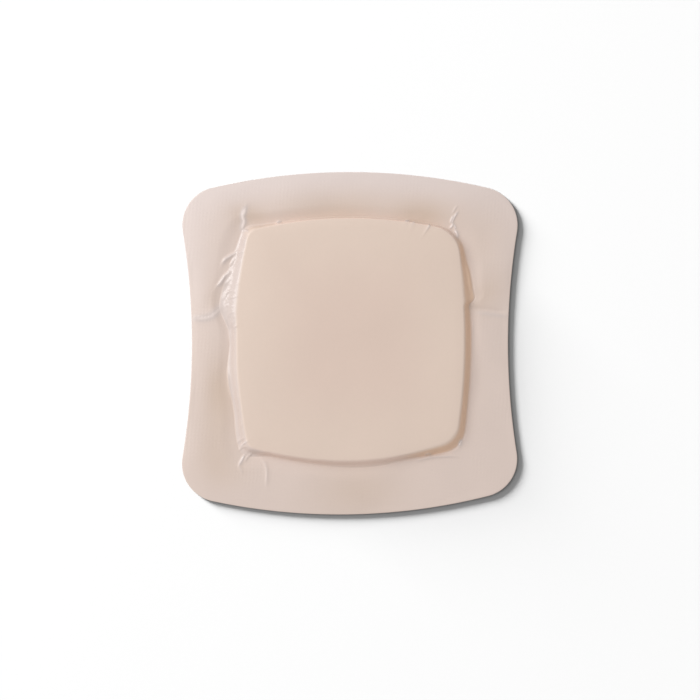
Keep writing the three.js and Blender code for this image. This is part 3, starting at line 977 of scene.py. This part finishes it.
def emboss_group():
    """Height of a fine embossed film: a close square lattice, worn away in soft patches."""
    tree, given, results = new_group(
        "film_emboss", [("Vector", VECTOR, None), ("Scale", FLOAT, EMBOSS_SCALE)], [("Height", FLOAT)]
    )
    ridges = []
    for degrees in EMBOSS_TURNS:
        turn = {"Vector": given["Vector"], "Rotation": (0, 0, math.radians(degrees))}
        wave = {
            "Vector": step(tree, "ShaderNodeMapping", turn), "Scale": given["Scale"],
            "Distortion": 2.2, "Detail": 1.0, "Detail Scale": 1.2,
        }
        ridges.append(step(tree, "ShaderNodeTexWave", wave, output="Fac"))
    lattice = maths(tree, "MULTIPLY", *ridges)
    patches = ramp(tree, noise(tree, given["Vector"], EMBOSS_PATCH_SCALE), 0.35, 0.65)
    feed(tree, results["Height"], maths(tree, "MULTIPLY", lattice, patches))


def cells_group():
    """Height of open foam: small round cells of two sizes."""
    tree, given, results = new_group(
        "foam_cells", [("Vector", VECTOR, None), ("Scale", FLOAT, CELL_SCALE)], [("Height", FLOAT)]
    )
    heights = []
    for size in CELL_SIZES:
        cells = {"Vector": given["Vector"], "Scale": maths(tree, "MULTIPLY", given["Scale"], size)}
        heights.append(step(tree, "ShaderNodeTexVoronoi", cells, output="Distance"))
    feed(tree, results["Height"], maths(tree, "MULTIPLY", *heights))


def place_group(tree, group, vector, **values):
    """What a node group gives when it is placed in a material with its own values."""
    entries = {"Vector": vector, **values}
    return step(tree, "ShaderNodeGroup", entries, node_tree=bpy.data.node_groups[group])


def new_material(name):
    material = bpy.data.materials.new(name)
    material.use_nodes = True
    tree = material.node_tree
    return tree, tree.nodes["Principled BSDF"].inputs, step(tree, "ShaderNodeTexCoord", output="Object")


def paint(tree, shader, where, tone, cloud, grain):
    mottled = place_group(tree, "soft_mottle", where, Colour=tone, Cloud=cloud, Grain=grain)
    feed(tree, shader["Base Color"], mottled)


def attribute(tree, name):
    return step(tree, "ShaderNodeAttribute", output="Fac", attribute_name=name)


def bump(tree, shader, height, strength, relief):
    entries = {"Strength": strength, "Distance": relief, "Height": height}
    feed(tree, shader["Normal"], step(tree, "ShaderNodeBump", entries, output="Normal"))


def backing_material(tones):
    """Satin foam-and-film: warm over the pad, pale where it is lifted, with a painted highlight round the
    face, painted warm shade and painted light on the walls, painted shade in the hollows, a painted sheen
    towards the rim and a painted glint on sharp crests.
    """
    tree, shader, where = new_material("dressing_film")
    place, gather = attribute(tree, "place"), attribute(tree, "gather")
    gathered = ramp(tree, gather, 0.0, 1.0)
    layers = (
        # Painted highlight: a lighter band round the edge of the face.
        (ramp(tree, place, -0.75, -0.1), tones.edge),
        (ramp(tree, place, 0.4, 1.04), tones.border),
        # Painted sheen towards the rim.
        (attribute(tree, "bleached"), tones.rim),
        # Painted warm shade on the walls at the right and along the bottom.
        (attribute(tree, "stretched"), tones.wall),
        # Painted light on the walls along the bottom and the top.
        (attribute(tree, "glowing"), tones.wall_light),
        # Painted shade in the hollows of the border.
        (attribute(tree, "pressed"), tones.hollow_shade),
        (gathered, tones.gathered),
        # Painted glint on the sharp crests of the folds.
        (ramp(tree, gather, 0.9, 1.9), tones.crest),
    )
    tone = (*tones.face, 1.0)
    for share, colour_over in layers:
        tone = blend_colours(tree, share, tone, (*colour_over, 1.0))
    paint(tree, shader, where, tone, cloud=0.07, grain=0.03)

    on_border = maths(tree, "MULTIPLY_ADD", ramp(tree, place, 1.0, 1.3), 1 - FACE_EMBOSS, FACE_EMBOSS)
    emboss = maths(tree, "MULTIPLY", place_group(tree, "film_emboss", where), on_border)
    height = maths(tree, "MULTIPLY_ADD", noise(tree, where, FILM_GRAIN_SCALE), FILM_GRAIN, emboss)
    bump(tree, shader, height, strength=0.8, relief=FILM_RELIEF)
    satin = maths(tree, "MULTIPLY_ADD", gathered, -LIFTED_GLOSS, FILM_ROUGHNESS)
    rough = maths(tree, "MULTIPLY_ADD", noise(tree, where, FILM_WEAR_SCALE, detail=3), FILM_WEAR, satin)
    feed(tree, shader["Roughness"], rough)


def foam_material(tones):
    """Pale open-cell foam."""
    tree, shader, where = new_material("dressing_foam")
    paint(tree, shader, where, (*tones.foam, 1.0), cloud=0.06, grain=0.12)
    cells = place_group(tree, "foam_cells", where)
    bump(tree, shader, cells, strength=0.7, relief=CELL_RELIEF)
    feed(tree, shader["Roughness"], ramp(tree, cells, -0.6, 0.1))


def adhesive_material(tones):
    """Soft, slightly glossy contact sheet."""
    tree, shader, where = new_material("dressing_adhesive")
    paint(tree, shader, where, (*tones.adhesive, 1.0), cloud=0.05, grain=0.02)
    ripple = noise(tree, where, RIPPLE_SCALE, detail=3)
    bump(tree, shader, ripple, strength=0.4, relief=RIPPLE_RELIEF)
    rough = maths(tree, "MULTIPLY_ADD", ripple, RIPPLE_ROUGHNESS, ADHESIVE_ROUGHNESS)
    feed(tree, shader["Roughness"], rough)


# Floor, lamps and camera


KEY_HEIGHT = 44
KEY_AZIMUTH = 153
KEY_DISTANCE = 1.3
KEY_SIZE = 1.0
FLOOR_LAMP_HEIGHT = 10.2
FLOOR_LAMP_AZIMUTH = 141
FLOOR_LAMP_SOFTNESS = 18
FLOOR_SIZE = 6
FLOOR_DROP = 0.02 * MM
LENS = 135
SENSOR = 36


def aimed_lamp(name, kind, azimuth, height, distance=1.0):
    """A lamp that shines on the dressing from an angle in plan and a height, both in degrees."""
    holder = add_object(name, bpy.data.lights.new(name, kind))
    turn, rise = math.radians(azimuth), math.radians(height)
    towards = Vector((math.cos(turn) * math.cos(rise), math.sin(turn) * math.cos(rise), math.sin(rise)))
    holder.rotation_euler = towards.to_track_quat("Z", "Y").to_euler()
    holder.location = towards * distance
    return holder


def make_key(strength):
    """A round studio lamp, near enough that its light falls off a little."""
    holder = aimed_lamp("key", "AREA", KEY_AZIMUTH, KEY_HEIGHT, KEY_DISTANCE)
    holder.data.shape = "DISK"
    holder.data.size = KEY_SIZE
    holder.data.energy = strength * math.pi * KEY_DISTANCE**2
    holder.visible_camera = False


def make_floor_lamp(strength, floor):
    """A low distant lamp that only reaches the floor."""
    holder = aimed_lamp("floor_lamp", "SUN", FLOOR_LAMP_AZIMUTH, FLOOR_LAMP_HEIGHT)
    holder.data.angle = math.radians(FLOOR_LAMP_SOFTNESS)
    holder.data.energy = strength
    lit = bpy.data.collections.new("lit_by_floor_lamp")
    lit.objects.link(floor)
    holder.light_linking.receiver_collection = lit


def make_floor(tone):
    half = FLOOR_SIZE / 2
    mesh = bpy.data.meshes.new("floor")
    corners = [(-half, -half), (half, -half), (half, half), (-half, half)]
    mesh.from_pydata([(x, y, -FLOOR_DROP) for x, y in corners], [], [(0, 1, 2, 3)])
    floor = add_object("floor", mesh)
    tree, shader, where = new_material("plain_floor")
    paint(tree, shader, where, (*tone, 1.0), cloud=0.0, grain=0.02)
    shader["Roughness"].default_value = 0.9
    shader["Specular IOR Level"].default_value = 0.0
    mesh.materials.append(bpy.data.materials["plain_floor"])
    return floor


def make_world(strength):
    """Even light from all round; the camera and mirror-like rays see plain white."""
    world = bpy.data.worlds.new("studio")
    world.use_nodes = True
    tree = world.node_tree
    background = tree.nodes["Background"].inputs
    background["Color"].default_value = (1, 1, 1, 1)
    path = add_node(tree, "ShaderNodeLightPath").outputs
    seen = maths(tree, "MAXIMUM", path["Is Camera Ray"], path["Is Glossy Ray"])
    seen = maths(tree, "MAXIMUM", seen, path["Is Transmission Ray"])
    feed(tree, background["Strength"], step(tree, "ShaderNodeMix", {0: seen, 2: strength, 3: 1.0}))
    bpy.context.scene.world = world


def make_camera(stage):
    camera = bpy.data.cameras.new("camera")
    camera.lens = LENS
    camera.sensor_width = SENSOR
    camera.clip_start = 10 * MM
    holder = add_object("camera", camera)
    distance = stage.view_width * LENS / SENSOR
    holder.location = (0, -stage.view_down, distance + RIM_HIGH.z)
    bpy.context.scene.camera = holder


# Operators


class DRESSING_OT_finishes(bpy.types.Operator):
    """Make the node groups and the material of each layer"""

    bl_idname = "dressing.finishes"
    bl_label = "Finishes"

    def execute(self, context):
        tones = context.scene.dressing_colours
        mottle_group()
        emboss_group()
        cells_group()
        backing_material(tones)
        foam_material(tones)
        adhesive_material(tones)
        return {"FINISHED"}


class DRESSING_OT_contact_layer(bpy.types.Operator):
    """Cut the perforated contact layer to the outline"""

    bl_idname = "dressing.contact_layer"
    bl_label = "Contact layer"

    def execute(self, context):
        scene = context.scene
        plan = Plan(scene.dressing_outline)
        finish = bpy.data.materials["dressing_adhesive"]
        piece = make_contact_layer(plan, scene.dressing_section, scene.dressing_holes, finish)
        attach(piece, "root")
        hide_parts("adhesive_layer")
        return {"FINISHED"}


class DRESSING_OT_pad(bpy.types.Operator):
    """Cut the absorbent foam pad"""

    bl_idname = "dressing.pad"
    bl_label = "Foam pad"

    def execute(self, context):
        scene = context.scene
        piece = make_pad(Plan(scene.dressing_outline), scene.dressing_section)
        piece.data.materials.append(bpy.data.materials["dressing_foam"])
        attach(piece, "root")
        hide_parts("foam_pad")
        return {"FINISHED"}


class DRESSING_OT_backing(bpy.types.Operator):
    """Form the backing sheet over the pad, with its gathers and creases"""

    bl_idname = "dressing.backing"
    bl_label = "Backing sheet"

    def execute(self, context):
        scene = context.scene
        outline = scene.dressing_outline
        plan = Plan(outline)
        piece = make_backing(plan, scene.dressing_section)
        piece.data.materials.append(bpy.data.materials["dressing_film"])
        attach(piece, "root")
        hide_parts("backing_sheet")
        return {"FINISHED"}


class DRESSING_OT_stage(bpy.types.Operator):
    """Set the floor, the lamps and the camera"""

    bl_idname = "dressing.stage"
    bl_label = "Stage"

    def execute(self, context):
        stage = context.scene.dressing_stage
        floor = make_floor(stage.floor)
        make_world(stage.sky)
        make_key(stage.key)
        make_floor_lamp(stage.floor_lamp, floor)
        make_camera(stage)
        context.scene.view_settings.view_transform = "Standard"
        return {"FINISHED"}


class DRESSING_PT_panel(bpy.types.Panel):
    bl_idname = "DRESSING_PT_panel"
    bl_label = "Foam dressing"
    bl_space_type = "VIEW_3D"
    bl_region_type = "UI"
    bl_category = "Dressing"

    def draw(self, context):
        for operator in OPERATORS:
            self.layout.operator(operator.bl_idname)


SETTINGS = {
    "dressing_outline": DressingOutline,
    "dressing_section": DressingSection,
    "dressing_holes": DressingHoles,
    "dressing_colours": DressingColours,
    "dressing_stage": DressingStage,
}
OPERATORS = (
    DRESSING_OT_finishes,
    DRESSING_OT_contact_layer,
    DRESSING_OT_pad,
    DRESSING_OT_backing,
    DRESSING_OT_stage,
)


def register():
    for cls in (*SETTINGS.values(), *OPERATORS, DRESSING_PT_panel):
        bpy.utils.register_class(cls)
    for name, cls in SETTINGS.items():
        setattr(bpy.types.Scene, name, bpy.props.PointerProperty(type=cls))


def unregister():
    for name in SETTINGS:
        delattr(bpy.types.Scene, name)
    for cls in (DRESSING_PT_panel, *OPERATORS, *SETTINGS.values()):
        bpy.utils.unregister_class(cls)


def main():
    register()
    bpy.ops.dressing.finishes()
    bpy.ops.dressing.contact_layer()
    bpy.ops.dressing.pad()
    bpy.ops.dressing.backing()
    bpy.ops.dressing.stage()


if __name__ == "__main__":
    main()
